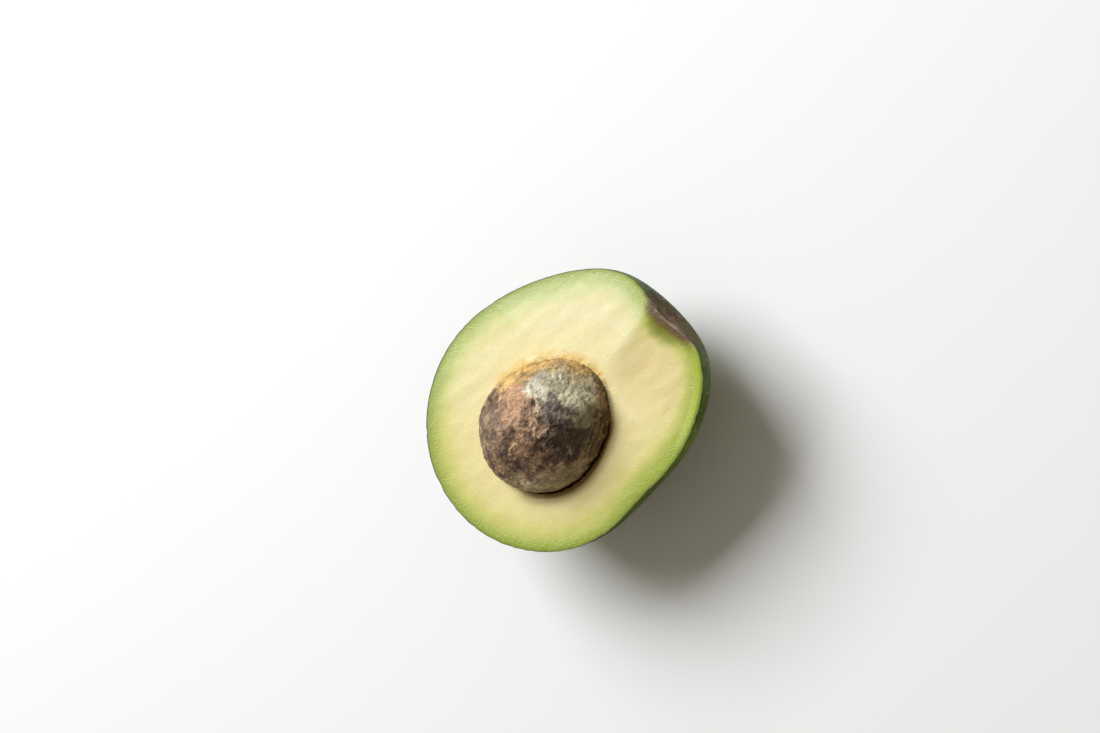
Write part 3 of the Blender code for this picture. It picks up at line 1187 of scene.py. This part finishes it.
def add_key_light(scene, stage):
    """The main light, a big square softbox."""
    light = bpy.data.lights.new("key", "AREA")
    light.shape = "SQUARE"
    light.size = stage.key_size
    light.energy = stage.key_power
    light.color = stage.key_tint[:3]
    key = bpy.data.objects.new("key", light)
    to_key = face_direction(stage.key_turn) * math.cos(stage.key_rise)
    to_key.z = math.sin(stage.key_rise)
    key.location = to_key * stage.key_distance
    key.rotation_mode = "QUATERNION"
    key.rotation_quaternion = to_key.to_track_quat("Z", "Y")
    scene.collection.objects.link(key)


def add_fill_light(scene, stage):
    """Even light from all round, as from a room's white walls."""
    world = bpy.data.worlds.new("studio")
    world.use_nodes = True
    background = world.node_tree.nodes["Background"]
    background.inputs["Color"].default_value = stage.fill_tint
    background.inputs["Strength"].default_value = stage.fill
    scene.world = world


def add_camera(scene, stage):
    """The camera, which looks down on the cut face."""
    lens = bpy.data.cameras.new("camera")
    lens.lens = stage.lens
    camera = bpy.data.objects.new("camera", lens)
    aim = fruit_middle() + Vector((stage.aim_x, stage.aim_y, 0))
    leaning = Matrix.Rotation(stage.view_turn, 4, "Z") @ Matrix.Rotation(stage.tilt, 4, "Y")
    back = Matrix.Translation((0, 0, stage.distance)) @ Matrix.Rotation(stage.roll, 4, "Z")
    camera.matrix_world = Matrix.Translation(aim) @ leaning @ back
    scene.collection.objects.link(camera)
    scene.camera = camera


# Operators.


class AVOCADO_OT_add_peel(bpy.types.Operator):
    """Adds the peel: a thin bowl of pebbled skin with its cut rim"""

    bl_idname = "avocado.add_peel"
    bl_label = "Add Peel"

    def execute(self, context):
        fruit = settings("avocado_fruit")
        colours = settings("avocado_colours")
        materials = (skin_material(colours, fruit), rim_material(colours, fruit))
        make_piece("avocado_peel", peel_mesh(fruit), "peel", materials)
        return {"FINISHED"}


class AVOCADO_OT_add_flesh(bpy.types.Operator):
    """Adds the flesh: the cut face, the hollow of the stone and the side under the peel"""

    bl_idname = "avocado.add_flesh"
    bl_label = "Add Flesh"

    def execute(self, context):
        fruit = settings("avocado_fruit")
        solid = flesh_mesh(fruit, settings("avocado_stone"))
        material = flesh_material(settings("avocado_colours"), fruit)
        make_piece("avocado_flesh", solid, "flesh", (material,))
        return {"FINISHED"}


class AVOCADO_OT_add_stone(bpy.types.Operator):
    """Adds the stone in its wrinkled seed coat"""

    bl_idname = "avocado.add_stone"
    bl_label = "Add Stone"

    def execute(self, context):
        stone = settings("avocado_stone")
        material = coat_material(settings("avocado_colours"), stone)
        make_piece("avocado_stone", stone_mesh(stone), "stone", (material,))
        return {"FINISHED"}


class AVOCADO_OT_add_stage(bpy.types.Operator):
    """Adds the floor, the lights and the camera"""

    bl_idname = "avocado.add_stage"
    bl_label = "Add Stage"

    def execute(self, context):
        stage = settings("avocado_stage")
        scene = context.scene
        add_floor(scene, stage)
        add_key_light(scene, stage)
        add_fill_light(scene, stage)
        add_camera(scene, stage)
        scene.view_settings.view_transform = "Standard"
        return {"FINISHED"}


class AVOCADO_PT_panel(bpy.types.Panel):
    """Lists the avocado's pieces and their sizes and colours"""

    bl_idname = "AVOCADO_PT_panel"
    bl_label = "Avocado Half"
    bl_space_type = "VIEW_3D"
    bl_region_type = "UI"
    bl_category = "Avocado"

    def draw(self, context):
        for operator in OPERATORS:
            self.layout.operator(operator.bl_idname)
        for name, group in GROUPS.items():
            box = self.layout.box()
            box.label(text=group.__doc__)
            for value in group.__annotations__:
                box.prop(getattr(context.scene, name), value)


OPERATORS = (
    AVOCADO_OT_add_peel,
    AVOCADO_OT_add_flesh,
    AVOCADO_OT_add_stone,
    AVOCADO_OT_add_stage,
)


def register():
    for group in GROUPS.values():
        bpy.utils.register_class(group)
    for name, group in GROUPS.items():
        setattr(bpy.types.Scene, name, PointerProperty(type=group))
    for operator in OPERATORS:
        bpy.utils.register_class(operator)
    bpy.utils.register_class(AVOCADO_PT_panel)


def unregister():
    bpy.utils.unregister_class(AVOCADO_PT_panel)
    for operator in reversed(OPERATORS):
        bpy.utils.unregister_class(operator)
    for name, group in GROUPS.items():
        delattr(bpy.types.Scene, name)
        bpy.utils.unregister_class(group)


def main():
    register()
    bpy.ops.avocado.add_peel()
    bpy.ops.avocado.add_flesh()
    bpy.ops.avocado.add_stone()
    bpy.ops.avocado.add_stage()


if __name__ == "__main__":
    main()
